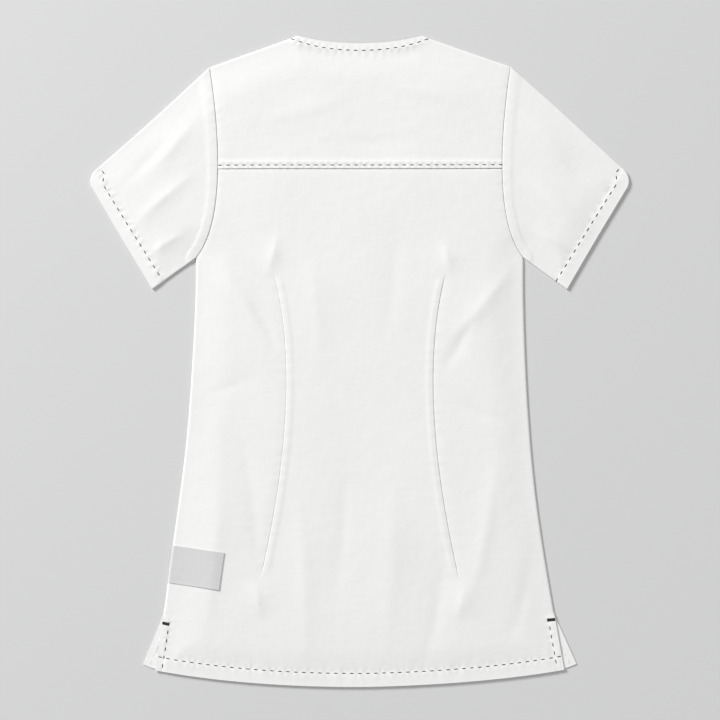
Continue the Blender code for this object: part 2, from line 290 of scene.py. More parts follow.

# %% [markdown]
# ## Slack
#
# Even a pressed top shows where it has been worn and washed: it slackens below the waist, drags a little
# from the underarm and stands up past the points of a dart. Each of these is a soft ridge, or a trough where
# its height is negative, with a row of its own in the table, uneven in length and spacing. A slow noise
# adds an unevenness that no row of the table gives.

# %% Soft ridges and troughs
RIDGES = (
    # x and y of the middle, heading in degrees from +X, length, half width, height: lengths in mm
    (-172, -236, 84, 300, 17, 1.30),
    (-128, -170, 97, 250, 13, -0.95),
    (-66, -262, 92, 270, 20, 1.40),
    (-20, -205, 86, 210, 14, -0.80),
    (38, -246, 88, 290, 22, 1.20),
    (92, -300, 80, 190, 13, -1.05),
    (150, -212, 78, 260, 16, 1.40),
    (196, -286, 76, 150, 12, -0.80),
    (-140, 74, 128, 150, 12, 1.50),
    (-112, 40, 118, 120, 9, -0.95),
    (146, 66, 50, 170, 13, 1.40),
    (120, 22, 62, 110, 9, -1.05),
    (-52, 64, 96, 220, 18, 0.80),
    (40, 96, 84, 200, 16, -0.70),
    (-154, -30, 24, 76, 9, -0.60),
    (146, -62, 158, 92, 8, -0.65),
    (-104, 128, 76, 60, 11, 1.40),
    (105, 124, 104, 54, 11, 1.30),
    (-122, -284, 102, 58, 12, 1.30),
    (123, -286, 78, 62, 12, 1.40),
    (-70, 300, 14, 150, 15, 0.80),
    (84, 322, 168, 130, 13, 0.70),
    (20, 262, 2, 170, 10, -0.50),
    (-236, 196, 222, 130, 11, 1.40),
    (-258, 238, 226, 110, 13, -0.95),
    (-222, 262, 230, 120, 12, 0.95),
    (-232, 142, 212, 70, 7, 0.95),
    (238, 188, -42, 140, 11, 1.50),
    (262, 226, -46, 100, 12, -1.05),
    (224, 270, -40, 110, 12, 0.90),
    (230, 146, -33, 74, 7, 1.05),
)
CREST = 0.25  # how round the top of a ridge is, as a share of its half width
FLANK = 1.5  # how fast its sides fall
WANDER = 0.60 * MM  # height of the slow noise
WANDER_SIZE = 70 * MM


def slack(x, y):
    """Height of the ridges, troughs and slow noise at each point."""
    height = np.zeros_like(x)
    for middle_x, middle_y, heading, length, width, rise in RIDGES:
        turn = math.radians(heading)
        across_x, across_y = x / MM - middle_x, y / MM - middle_y
        along = across_x * math.cos(turn) + across_y * math.sin(turn)
        off = across_y * math.cos(turn) - across_x * math.sin(turn)
        off = off - along**2 / (9 * length)  # never quite straight: its ends bend a 36th of its length away
        fade = np.cos(np.clip(along / length, -0.5, 0.5) * math.pi) ** 2
        height += rise * MM * fade * np.exp(FLANK * (CREST - np.hypot(off / width, CREST)))
    places = zip((x / WANDER_SIZE).flat, (y / WANDER_SIZE).flat)
    wander = np.array([noise.noise((u, v, 0.5)) for u, v in places]).reshape(x.shape)
    return height + WANDER * wander


def drawn_in(distance, along, wave, height=0.16 * MM, reach=8 * MM):
    """Ripples where a seam's thread draws the cloth in, uneven as a machine's feed is."""
    phase = along / wave * math.tau
    # The slower waves fit no whole number of times, so no stretch of a seam repeats another.
    uneven = np.sin(phase + 1.7 * np.sin(phase * 0.23)) * (0.65 + 0.35 * np.sin(phase * 0.137 + 2))
    return height * uneven * bell(distance, reach)


print("ridges and troughs placed by hand:", len(RIDGES))

# %% [markdown]
# The height of the upper cloth is the sum of all this. It is one function of the place in plan, shared by
# yoke, back and sleeves, so that neighbours still meet wherever a seam runs.

# %% Height of the upper cloth
EDGE_TOP = 2.30 * MM  # the back's outer face along a free edge
SEAM_TOP = 0.90 * MM  # and where it meets the front at a side or shoulder seam
PUFF = 2.00 * MM  # air and seam allowances between the layers, reached PUFF_RUN in from the edge
PUFF_RUN = 45 * MM
ROLL = 2.6 * MM  # how far in from a closed edge the cloth starts to turn down
SIDES = (-1, 1)  # the wearer's left and right
ARMHOLES = {side: thinned(LINE["armhole"]) * (side, 1) for side in SIDES}
SLACK_RUN = 22 * MM  # an edge holds the cloth down, so slack and ripples grow over these widths
RIPPLE_RUN = 10 * MM
RIPPLES = {"armhole": 13 * MM, "yoke": 11 * MM, "hem": 17 * MM, "dart": 15 * MM, "cuff": 14 * MM}


def back_height(x, y):
    """Height of the upper cloth's outer face, without the piece's own bands and seams."""
    edge = from_edges(CLOSED_EDGES + FREE_EDGES, x, y)
    height = EDGE_TOP + PUFF * smooth(edge / PUFF_RUN) + slack(x, y) * smooth(edge / SLACK_RUN)
    for side in SIDES:
        ripples = drawn_in(*nearest(ARMHOLES[side], x, y), wave=RIPPLES["armhole"])
        height += ripples * smooth(edge / RIPPLE_RUN)
    return height


def body_height(x, y):
    """The same for the body, which turns down to the front at its side and shoulder seams."""
    sewn_down = (EDGE_TOP - SEAM_TOP) * rolled(from_edges(CLOSED_EDGES, x, y), ROLL)
    at_armhole = np.min([nearest(ARMHOLES[side], x, y)[0] for side in SIDES], axis=0)
    return back_height(x, y) - sewn_down - groove(at_armhole)


middle_height = body_height(np.array([0.0]), np.array([0.0]))[0]
print("height in the middle of the back, mm:", round(middle_height / MM, 2))

# %% [markdown]
# ## How the top was laid down
#
# No hand lays a garment quite straight. Up to here both halves are mirror images, as they are cut. This table
# moves the cloth a little in plan, the same for all layers: below the underarm the sides swing about 3 mm to
# the left, the cuffs about 1 mm, one shoulder lies a little higher than the other, and so does the right half
# of the hem. The pattern itself stays as it is.

# %% Small moves in plan
MOVES = (
    # x and y of the middle, reach across and along, then how far the cloth is moved: all in mm
    (-225, -215, 60, 110, -2.8, 0.0),
    (-205, -10, 55, 90, -1.4, 0.0),
    (215, -160, 60, 135, -2.8, 0.0),
    (-256, 290, 85, 85, 1.0, -1.1),
    (-292, 150, 50, 60, -0.9, 0.2),
    (240, 305, 90, 90, 0.6, 1.4),
    (290, 150, 60, 70, -0.9, 0.0),
    (140, -385, 130, 60, 0.0, 1.4),
)


def laid(x, y):
    """Where points of the pattern come to lie."""
    moved_x, moved_y = x, y
    for middle_x, middle_y, reach_x, reach_y, move_x, move_y in MOVES:
        near = np.exp(-(((x / MM - middle_x) / reach_x) ** 2) - ((y / MM - middle_y) / reach_y) ** 2)
        moved_x, moved_y = moved_x + near * move_x * MM, moved_y + near * move_y * MM
    return moved_x, moved_y


print("moved at the waist, mm:", [round(float(laid(x, -0.2)[0] - x) / MM, 1) for x in (-0.22, 0.0, 0.22)])

# %% [markdown]
# ## From a grid to a piece of cloth
#
# Cloth is a sheet, so each piece starts as the plainest sheet there is, a flat grid from one operator. Its
# sides are welded together for a sleeve, or it is mirrored for the front. Then each corner moves to its own
# place in a table of points, with one row and column for each line of the grid.

# %% Grid helper
def sheet_grid(points, ring, mirrored):
    """A grid of cloth, with the row, column and side of the garment of each vertex."""
    rows, columns = points.shape[:2]
    bm = bmesh.new()
    bmesh.ops.create_grid(bm, x_segments=columns - 1 + ring, y_segments=rows - 1, size=0.5)
    row_of = bm.verts.layers.int.new("row")
    column_of = bm.verts.layers.int.new("column")
    for vert in bm.verts:
        row = round((vert.co.y + 0.5) * (rows - 1))
        column = round((vert.co.x + 0.5) * (columns - 1 + ring)) % columns
        vert[row_of], vert[column_of] = row, column
        angle = math.tau * column / columns
        vert.co = (math.cos(angle), math.sin(angle), row) if ring else points[row, column]
    if ring:
        bmesh.ops.remove_doubles(bm, verts=bm.verts[:], dist=1e-5)
    if mirrored:
        bmesh.ops.mirror(bm, geom=bm.verts[:] + bm.edges[:] + bm.faces[:], axis="X", merge_dist=1e-5)
    side = [-1 if mirrored and vert.co.x < 0 else 1 for vert in bm.verts]
    row, column = [vert[row_of] for vert in bm.verts], [vert[column_of] for vert in bm.verts]
    return bm, np.array(row), np.array(column), np.array(side)


def mesh_from(bm, name):
    """A smooth mesh made of a bmesh, which is then freed."""
    mesh = bpy.data.meshes.new(name)
    bm.to_mesh(mesh)
    bm.free()
    mesh.shade_smooth()
    return mesh


trial = sheet_grid(np.zeros((3, 8, 3)), ring=True, mirrored=False)[0]
print("faces of a trial tube with 8 columns and 3 rows:", len(trial.faces))
trial.free()

# %% [markdown]
# Stitches pucker the cloth, which the material draws from two attributes of each point: how strongly the
# nearest line of stitches pulls here, and how far along it this is. The pull fades out before the places
# where two lines are equally near, because the distance along them jumps there.

# %% Pull of the stitches
STITCH_PULL = 8 * MM  # how far from its stitches the cloth is puckered


def stitch_pull(lines, x, y):
    """How strongly the nearest line of stitches pulls at each point, and how far along it the point is."""
    unsewn = (np.ones(len(x)), np.zeros(len(x)))
    off, along = zip(unsewn, unsewn, *(nearest(line, x, y) for line in lines))
    first, second = np.sort(off, axis=0)[:2]
    pull = (1 - smooth(first / STITCH_PULL)) * smooth((second - first) / STITCH_PULL - 1)
    return pull, np.choose(np.argmin(off, axis=0), along)


beside_line = stitch_pull([np.array([(0, 0), (0.1, 0)])], np.full(3, 0.05), np.array([0, 4, 8]) * MM)[0]
print("pull 0, 4 and 8 mm from a line of stitches:", np.round(beside_line, 2))

# %% [markdown]
# A Solidify modifier gives the sheet its thickness, inwards from the outer face, and more where the vertex
# group "hem" weighs it. The direction of the threads goes into a UV map in metres, so the weave turns with
# the piece.

# %% Thickness
def thicken(piece, doubled):
    """Give a sheet the thickness of its cloth, and of a hem where it is doubled."""
    group = piece.vertex_groups.new(name="hem")
    for index in np.flatnonzero(doubled > 0):
        group.add([int(index)], float(doubled[index]), "REPLACE")
    wall = piece.modifiers.new("thickness", "SOLIDIFY")
    wall.thickness = HEM_THICK
    wall.offset = -1
    wall.vertex_group = group.name
    wall.thickness_vertex_group = CLOTH / HEM_THICK


print("share of a hem's thickness that single cloth has:", round(CLOTH / HEM_THICK, 2))

# %% Piece of cloth
def cloth_piece(name, points, hem, grain=0.0, sewn=(), ring=False, mirrored=False, faces_up=True):
    """A piece of cloth whose outer face is a table of points; grain turns its threads, in degrees."""
    bm, row, column, side = sheet_grid(points, ring, mirrored)
    place = points[row, column].copy()
    place[:, 0] *= side
    x, y, z = place.T
    for vert, co in zip(bm.verts, np.column_stack([*laid(x, y), z])):
        vert.co = co
    bmesh.ops.recalc_face_normals(bm, faces=bm.faces[:])
    upper = [face for face in bm.faces if not ring or face.calc_center_median().z > EDGE_TOP / 2]
    if (sum(face.normal.z for face in upper) > 0) != faces_up:
        bmesh.ops.reverse_faces(bm, faces=bm.faces[:])
    mesh = mesh_from(bm, name)

    turn = math.radians(grain)
    threads = np.stack([x * math.cos(turn) + y * math.sin(turn), y * math.cos(turn) - x * math.sin(turn)], 1)
    corners = np.zeros(len(mesh.loops), dtype=np.int32)
    mesh.loops.foreach_get("vertex_index", corners)
    mesh.uv_layers.new(name="threads").data.foreach_set("uv", threads[corners].astype(np.float32).ravel())

    pull, along = stitch_pull(sewn, x, y)
    doubled = hem[row, column]
    for attribute, values in (("pull", pull), ("stitch_along", along), ("doubled", doubled)):
        mesh.attributes.new(attribute, "FLOAT", "POINT").data.foreach_set("value", values.astype(np.float32))

    piece = placed(name, mesh)
    thicken(piece, doubled)
    print(f"{name}: {len(mesh.polygons)} faces before its thickness")
    return piece


# %% [markdown]
# The lines of a grid lie close together where the cloth bends sharply, at edges, seams and the inner end of
# a hem, and far apart elsewhere. Two helpers space them, and a third says where they meet the armhole.

# %% Spacing helpers
SEAM_GAP = 0.15 * MM  # each piece stops this far from the line where it is sewn to the next
PITCH = 3.0 * MM  # size of a grid cell away from the seams
SEAM_CELLS = [offset * MM for offset in (0, 0.1, 0.3, 0.6, 1.0, 1.6, 2.4, 3.6, 5.2)]


def spaced(start, end, step):
    """Even values from start to end, about a step apart, without the end."""
    count = max(1, round(abs(end - start) / step))
    return [start + (end - start) * k / count for k in range(count)]


def beside(band):
    """Distances of grid lines from an edge with a turned band, closer at the edge and the band's end."""
    cells = [offset for offset in SEAM_CELLS if offset < band - 2 * MM]
    cells += spaced(cells[-1], band - 0.8 * MM, 2.4 * MM)[1:]
    return cells + [band - 0.8 * MM, band, band + BAND_STEP / 2, band + BAND_STEP]


def armhole_at(y, inset=SEAM_GAP):
    """Distance from the centre line to the armhole seam at each y, less an inset square to the seam."""
    seam_x, seam_y = LINE["armhole"].T
    slope = np.interp(y, seam_y, np.gradient(seam_x, seam_y))
    return x_of("armhole", y) - inset * np.sqrt(1 + slope**2)


print("grid lines along a hem, mm:", [round(cell / MM, 1) for cell in beside(HEM_BAND)])

# %% [markdown]
# ## Back yoke
#
# The yoke is the piece across the shoulders. The seam allowances below it are pressed up under it and held by
# a line of stitches, so it stands a little proud of the back panel. Its neck edge is turned under and
# stitched too. The grid's columns spread like a fan from the seam to the shoulder line, which keeps one
# column on each neck point, where the outline has its corner.

# %% Grid of the yoke
YOKE_SEAM = 0.2311  # y of the seam
YOKE_BAND, YOKE_STITCH = 9.0 * MM, 4.4 * MM  # how far above it the allowances reach and the stitches lie
neck_share = NECK_POINT[0] / SHOULDER[0]
last_share = 1 - (SEAM_CELLS[-1] + PITCH / 2) / SHOULDER[0]
half = spaced(0, neck_share, PITCH / SHOULDER[0]) + spaced(neck_share, last_share, PITCH / SHOULDER[0])
half += [1 - offset / SHOULDER[0] for offset in reversed(SEAM_CELLS)]
yoke_columns = np.array([-share for share in reversed(half[1:])] + half)

# A row of the grid is a share of the way from the seam to the shoulder line, and an offset from there.
seam_rows = [(0, offset) for offset in SEAM_CELLS[:7] + [3.4 * MM, YOKE_STITCH, 5.4 * MM, 7 * MM]]
seam_rows += [(0, offset) for offset in (YOKE_BAND, YOKE_BAND + BAND_STEP / 2, YOKE_BAND + BAND_STEP)]
neck_rows = [(1, -offset) for offset in reversed(beside(NECK_BAND))]
yoke_start = YOKE_SEAM + SEAM_GAP
yoke_depth = SHOULDER[1] - yoke_start
band_share = 13 * MM / yoke_depth  # clear of the bands at both ends
between = spaced(band_share, 1 - band_share, PITCH / yoke_depth)
yoke_rows = np.array(seam_rows + [(share, 0) for share in between] + neck_rows)
print("yoke grid:", len(yoke_rows), "rows,", len(yoke_columns), "columns")

# %% Back yoke
share, offset = yoke_rows.T[..., None]
across = np.abs(yoke_columns)
down_shoulder = (across - neck_share) / (1 - neck_share)
neck_y = np.interp(across * SHOULDER[0], *LINE["neck"].T)
shoulder_y = NECK_POINT[1] + (SHOULDER[1] - NECK_POINT[1]) * down_shoulder
top_line = np.where(down_shoulder > 0, shoulder_y, neck_y)
x = yoke_columns * armhole_at(yoke_start + yoke_depth * share + offset)
y = yoke_start + (top_line - yoke_start) * share + offset

NECK_LINE = both_halves(thinned(LINE["neck"]))
NECK_STITCHES = both_halves(thinned(LINE["neck stitches"]))
yoke_stitch_y = YOKE_SEAM + YOKE_STITCH
YOKE_STITCHES = np.array([(side * armhole_at(yoke_stitch_y, 0), yoke_stitch_y) for side in SIDES])
YOKE_DIP = 0.4 * MM  # less than at other seams, because the yoke lies over its seam allowances
neck_band = turned(nearest(NECK_LINE, x, y)[0], NECK_BAND)
above_seam = y - YOKE_SEAM
z = body_height(x, y) + BAND_RISE * np.maximum(neck_band, turned(above_seam, YOKE_BAND))
z += drawn_in(above_seam, x, wave=RIPPLES["yoke"]) - YOKE_DIP * rolled(above_seam, SEAM_ROLL)
z -= sewn_dent(nearest(YOKE_STITCHES, x, y)[0]) + sewn_dent(nearest(NECK_STITCHES, x, y)[0])
yoke = cloth_piece("back_yoke_cloth", np.stack([x, y, z], -1), neck_band, sewn=[YOKE_STITCHES, NECK_STITCHES])

# %% [markdown]
# ## Back panel
#
# The back panel hangs from the yoke to the curved hem. Two darts take in the waist: each is a fold on the
# inside, sewn along a curve that runs out to nothing at both ends, so from outside it is a crease with a
# soft ridge towards the centre, where the folded cloth is pressed. The columns of the grid follow the
# centre, the dart and the side seam, so that the crease and the vent's hem lie between straight rows of
# faces and stay crisp.

# %% Grid of the back panel
def hem_rows(step):
    """Rows from the hem up to the top of the vents: a level, a share of the way from there down to the hem,
    and an offset."""
    rows = [(VENT_TOP, 1, offset) for offset in beside(HEM_BAND)[:-1]]
    return rows + [(VENT_TOP, share, (HEM_BAND + BAND_STEP) * share) for share in spaced(1, 0, step)]


dart_cells = (-9, -7, -5, -3.4, -2.2, -1.2, -0.6, -0.2, 0, 0.3, 0.8, 1.6, 2.8, 4.4)
DART_CELLS = [offset * MM for offset in dart_cells]  # from the edge of the fold inside to clear of the crease
SIDE_STRIP = 24 * MM  # this wide, the columns follow the edge
vent_cells = beside(VENT_BAND) + spaced(VENT_BAND + BAND_STEP + 2 * MM, SIDE_STRIP, PITCH)
back_columns = [("centre", share) for share in spaced(0, 1, 0.034)]
back_columns += [("dart", offset) for offset in DART_CELLS]
back_columns += [("middle", share) for share in spaced(0, 1, 0.042)[1:]]
back_columns += [("edge", -offset) for offset in reversed(vent_cells)]

back_end = YOKE_SEAM - SEAM_GAP
back_rows = hem_rows(0.042)
back_rows += [(level, 0, 0) for level in spaced(VENT_TOP, back_end - SEAM_CELLS[-1] - PITCH / 2, PITCH)]
back_rows += [(back_end - offset, 0, 0) for offset in reversed(SEAM_CELLS)]
print("back grid:", len(back_rows), "rows,", 2 * len(back_columns) - 1, "columns")


def body_edge(y):
    """Distance from the centre line to the edge of the body: the vent, the side seam, then the armhole."""
    return np.where(y > UNDERARM[1], armhole_at(y), x_of("side", y))


def down_to(hem_y, level, share, offset):
    """Height in plan of rows that run from a level down to the hem."""
    return level + (hem_y - level) * share + offset


# %% Plan of the back panel
level, share, offset = np.array(back_rows).T[..., None]
edge_y = down_to(HEM_CORNER[1], level, share, offset)
edge_x = body_edge(edge_y)
dart_x = x_of("dart", edge_y)
middle_from, middle_to = dart_x + DART_CELLS[-1], edge_x - vent_cells[-1]
anchors = {
    "centre": lambda amount: (dart_x + DART_CELLS[0]) * amount,
    "dart": lambda amount: dart_x + amount,
    "middle": lambda amount: middle_from + (middle_to - middle_from) * amount,
    "edge": lambda amount: edge_x + amount,
}
right = np.hstack([anchors[line](amount) for line, amount in back_columns])
x = np.hstack([-right[:, :0:-1], right])
hem_y = np.interp(np.abs(x) / edge_x * HEM_CORNER[0], *LINE["hem"].T)
y = down_to(hem_y, level, share, offset)

HEM_ROW_INSET = 3.6 * MM  # the row stops this far inside the hem's corners
narrower = 1 - HEM_ROW_INSET / HEM_CORNER[0]
HEM_STITCHES = both_halves(thinned(LINE["hem"])) * (narrower, 1) + (0, HEM_BAND)
VENT_STITCHES = {side: (VENT_EDGE - (VENT_BAND, 0)) * (side, 1) for side in SIDES}
print("hem stitches run, mm:", round((HEM_STITCHES[-1, 0] - HEM_STITCHES[0, 0]) / MM))

# %% Back panel
from_hem = y - hem_y
from_vent = np.where(y < VENT_TOP, edge_x - np.abs(x), 1)
hem_band = np.maximum(turned(from_hem, HEM_BAND), turned(from_vent, VENT_BAND))
z = body_height(x, y) + BAND_RISE * hem_band - groove(YOKE_SEAM - y)
z += drawn_in(from_hem - HEM_BAND, x, wave=RIPPLES["hem"], height=0.22 * MM, reach=12 * MM)
z -= sewn_dent(from_hem - HEM_BAND) + sewn_dent(from_vent - VENT_BAND)

DART_DIP = 0.6 * MM
DART_DENT, DART_DENT_REACH = 0.3 * MM, 5 * MM
FOLD_FLAT, FOLD_STEP = 6 * MM, 3 * MM  # how wide the fold inside is level, and then falls away
DART_POINT = 0.045  # share of the dart's length over which it deepens from each point
dart_low, dart_high = LINE["dart"][0, 1], LINE["dart"][-1, 1]
dart_share = np.clip((y - dart_low) / (dart_high - dart_low), 0, 1)
dart_depth = smooth(np.minimum(dart_share, 1 - dart_share) / DART_POINT) ** 0.7
off_dart = np.abs(x) - x_of("dart", y)
crease = DART_DIP * rolled(np.abs(off_dart), SEAM_ROLL) + DART_DENT * bell(off_dart, DART_DENT_REACH)
pressed = BAND_RISE * (off_dart < 0) * (1 - smooth((-off_dart - FOLD_FLAT) / FOLD_STEP))
z += dart_depth * (pressed - crease + drawn_in(off_dart, y, wave=RIPPLES["dart"], reach=10 * MM))
back_seams = [HEM_STITCHES, *VENT_STITCHES.values()]
back = cloth_piece("back_panel_cloth", np.stack([x, y, z], -1), hem_band, sewn=back_seams)

# %% [markdown]
# ## Front panel
#
# The front lies face down under everything else, so it is flat. It ends in a V neck, whose edge is
# turned like the back's, and its two vent flaps swing out past the back, where the turned hems show on the
# cloth's inner side. It is the same on both halves, so one half is made and mirrored over the centre line.

# %% Grid of the front panel
V_BOTTOM = 0.2007  # y of the tip of the V
neck_cells, flap_cells = beside(NECK_BAND), beside(VENT_BAND)
front_columns = [("neck", offset) for offset in neck_cells]
front_columns += [("middle", share) for share in spaced(0, 1, 0.05)[1:]]
front_columns += [("edge", offset) for offset in reversed(flap_cells)]
HIDDEN_PITCH = 8 * MM  # coarser cells where the back covers it
front_levels = spaced(VENT_TOP, V_BOTTOM, HIDDEN_PITCH) + spaced(V_BOTTOM, SHOULDER[1], PITCH)
front_rows = hem_rows(0.055) + [(level, 0, 0) for level in [*front_levels, SHOULDER[1]]]
print("front grid, one half:", len(front_rows), "rows,", len(front_columns), "columns")

# %% Plan of the front panel
FLAP_CORNER = np.array((0.2600, -0.3631))  # where it swings out past the back
HEM_SHY = 0.8 * MM  # how far its hem lies inside the back's
level, share, offset = np.array(front_rows).T[..., None]
vent_corner = VENT_EDGE[-1]
edge = np.hstack([body_edge(level), level])
edge += (FLAP_CORNER - edge) * share + (vent_corner - FLAP_CORNER) / (vent_corner - FLAP_CORNER)[1] * offset
opened = np.clip((level - V_BOTTOM) / (SHOULDER[1] - V_BOTTOM), 0, 1)  # the V, a little rounded at its tip
neck_edge = np.hstack([NECK_POINT[0] * opened**0.9, level + (NECK_POINT[1] - SHOULDER[1]) * opened])
across = edge - neck_edge
width = np.linalg.norm(across, axis=1, keepdims=True)
gone = {
    "neck": lambda amount: amount + 0 * width,
    "middle": lambda amount: neck_cells[-1] + (width - flap_cells[-1] - neck_cells[-1]) * amount,
    "edge": lambda amount: width - amount,
}
out_share = np.hstack([gone[line](amount) for line, amount in front_columns]) / width
x, y = (neck_edge[:, None] + across[:, None] * out_share[..., None]).transpose(2, 0, 1)

hem_share = HEM_CORNER[0] / FLAP_CORNER[0]
to_flap = np.clip((out_share - hem_share) / (1 - hem_share), 0, 1)
front_hem_y = np.interp(out_share * FLAP_CORNER[0], *LINE["hem"].T) + HEM_SHY
front_hem_y += (FLAP_CORNER[1] - HEM_CORNER[1] - HEM_SHY) * to_flap
y = np.where(share > 0, down_to(front_hem_y, level, share, offset), y)
print("V neck depth, mm:", round((NECK_POINT[1] - V_BOTTOM) / MM))

# %% Front panel
V_EDGE = neck_edge[level[:, 0] >= V_BOTTOM - 1e-6]
bands = turned(y - front_hem_y, HEM_BAND)
bands = np.maximum(bands, turned((1 - out_share) * width, VENT_BAND) * (y < VENT_TOP))
bands = np.maximum(bands, turned(nearest(V_EDGE, x, y)[0], NECK_BAND))
points = np.stack([x, y, np.full(x.shape, FRONT_BASE)], -1)
front = cloth_piece("front_panel_cloth", points, bands, mirrored=True, faces_up=False)

# %% [markdown]
# ## Sleeves
#
# A set-in sleeve is one piece, folded over the arm and closed under it. Laid flat it is a tube pressed to
# two layers: a fold along the top of the arm and a seam below. The grid is welded into a ring. One half of
# the ring is the upper layer, the other the lower one, and a few columns between them run round the fold.
# The seam allowances of the armhole are pressed into the sleeve, so it stands proud along it.

# %% Grid of a sleeve
ARMHOLE_BAND = 10.0 * MM  # width of the seam allowances
TURN_ANGLES = [math.radians(angle) for angle in (62, 34, 10, -14, -38, -64)]
arm_length = lengths(LINE["armhole"])
arm_share = np.array([0, 0.012, 0.022] + spaced(0.034, 0.966, 0.0125) + [0.966, 0.978, 0.988, 1])
arm_heading = np.gradient(LINE["armhole"], axis=0)
arm_out = np.stack([arm_heading[:, 1], -arm_heading[:, 0]], axis=1)
arm_out /= np.linalg.norm(arm_heading, axis=1)[:, None]
arm_line = (LINE["armhole"] + arm_out * SEAM_GAP).T
ARM_POINTS = np.stack([np.interp(arm_share * arm_length[-1], arm_length, axis) for axis in arm_line], axis=1)
ARM_ENDS = (unit(-arm_heading[0]), unit(arm_heading[-1]))
ARM_CELLS = beside(ARMHOLE_BAND)
sleeve_rows = [("armhole", offset) for offset in ARM_CELLS]
sleeve_rows += [("middle", share) for share in spaced(0, 1, 0.031)[1:] + [1]]
sleeve_rows += [("cuff", inset) for inset in reversed(beside(SLEEVE_HEM)[:-1])]
print("sleeve grid:", len(sleeve_rows), "rows,", 2 * (len(arm_share) + len(TURN_ANGLES)), "columns")


def sleeve_row(line, amount):
    """Points of one row in plan, underarm to fold, and the way the cloth turns at its two ends."""
    inset = amount if line == "cuff" else SLEEVE_HEM + BAND_STEP
    fold, fold_out = fold_point(inset)
    outs = (UNDERARM_OUT, fold_out)
    cuff_row = underarm_point(inset) + (fold - underarm_point(inset)) * arm_share[:, None]
    if line == "cuff":
        return cuff_row, outs
    run = cuff_row - ARM_POINTS
    run /= np.linalg.norm(run, axis=1)[:, None]
    if line == "armhole":
        blend = smooth(amount / ARM_CELLS[-1])
        arm_row = ARM_POINTS + run * amount
        return arm_row, [unit(end + (out - end) * blend) for end, out in zip(ARM_ENDS, outs)]
    begin = ARM_POINTS + run * ARM_CELLS[-1]
    return begin + (cuff_row - begin) * amount, outs


# %% Sleeves
SLEEVE_TURN = 1.15 * MM  # half width of the turn along the fold and the underarm seam
TURN_RUNS = (35 * MM, 8 * MM)  # the turn grows this far from the armhole below, and from the cuff above
LEAST_TURN = 0.02 * MM


def sleeve_ring(side, line, amount):
    """All round one row of a sleeve, and how far its cloth is doubled."""
    plan, outs = sleeve_row(line, amount)
    off_cuff = amount if line == "cuff" else 1.0  # 1 m, which is clear of the hem
    from_arm = np.linalg.norm(plan[0] - UNDERARM)
    # The turn narrows to an edge where the underarm seam meets the armhole and round the cuff's corner.
    full = (smooth(from_arm / TURN_RUNS[0]), smooth(off_cuff / TURN_RUNS[1]))
    widths = [SLEEVE_TURN * share + LEAST_TURN for share in full]
    plan = plan.copy()
    for end, out, width in zip((0, -1), outs, widths):
        plan[end] -= out * width
    x, y = plan.T
    off_arm = nearest(ARMHOLES[1], x, y)[0]
    cuff_band = turned(off_cuff, SLEEVE_HEM)
    top = back_height(x * side, y) - groove(off_arm) - sewn_dent(off_cuff - SLEEVE_HEM)
    top += BAND_RISE * np.maximum(cuff_band, turned(off_arm, ARMHOLE_BAND))
    top += drawn_in(off_cuff - SLEEVE_HEM, y, wave=RIPPLES["cuff"])
    turns = []
    for end, out, width in zip((0, -1), outs, widths):
        middle, high = (top[end] + FRONT_BASE) / 2, (top[end] - FRONT_BASE) / 2
        for angle in TURN_ANGLES:
            outer = plan[end] + out * width * math.cos(angle)
            turns.append((*outer, middle + high * math.sin(angle)))
    under, over = turns[: len(TURN_ANGLES)], turns[len(TURN_ANGLES) :][::-1]
    upper, lower = np.stack([x, y, top], axis=1), np.stack([x, y, np.full(x.shape, FRONT_BASE)], axis=1)
    return np.vstack([upper[::-1], under, lower, over]) * (side, 1, 1), cuff_band


def sleeve(side, name):
    """One sleeve."""
    rings = [sleeve_ring(side, line, amount) for line, amount in sleeve_rows]
    points = np.array([ring for ring, _ in rings])
    hem = np.array([np.full(len(ring), cuff_band) for ring, cuff_band in rings])
    stitches = np.array([underarm_point(SLEEVE_HEM), fold_point(SLEEVE_HEM)[0]]) * (side, 1)
    grain = math.degrees(math.atan2(FOLD_RUN[1], FOLD_RUN[0] * side))
    return cloth_piece(name, points, hem, grain=grain, sewn=[stitches], ring=True)


sleeves = {-1: sleeve(-1, "sleeve_left_cloth"), 1: sleeve(1, "sleeve_right_cloth")}

# %% [markdown]
# ## Label tab
#
# The tab is a short length of woven tape, caught in the side seam and left blank. It lies on the back panel,
# so each corner of its grid is dropped onto the cloth under it: a ray from above finds the height. Its
# loose end lifts a little, and its long edges curl by a hair, as tape does.

# %% Rays onto the cloth
RAY_FROM = 0.05  # metres over or under the table, clear of all cloth


def surface_of(piece):
    """A tree of the finished faces of a piece, which rays can hit."""
    return BVHTree.FromObject(piece, bpy.context.evaluated_depsgraph_get())


def dropped(surface, place, face=1):
    """Where a place in plan meets a surface, from above for a face of 1 or below for -1, and its normal."""
    return surface.ray_cast(Vector((*place, RAY_FROM * face)), Vector((0, 0, -face)))[:2]


back_surface = surface_of(back)
print("height of the back at its middle, mm:", round(dropped(back_surface, (0, 0))[0].z / MM, 2))

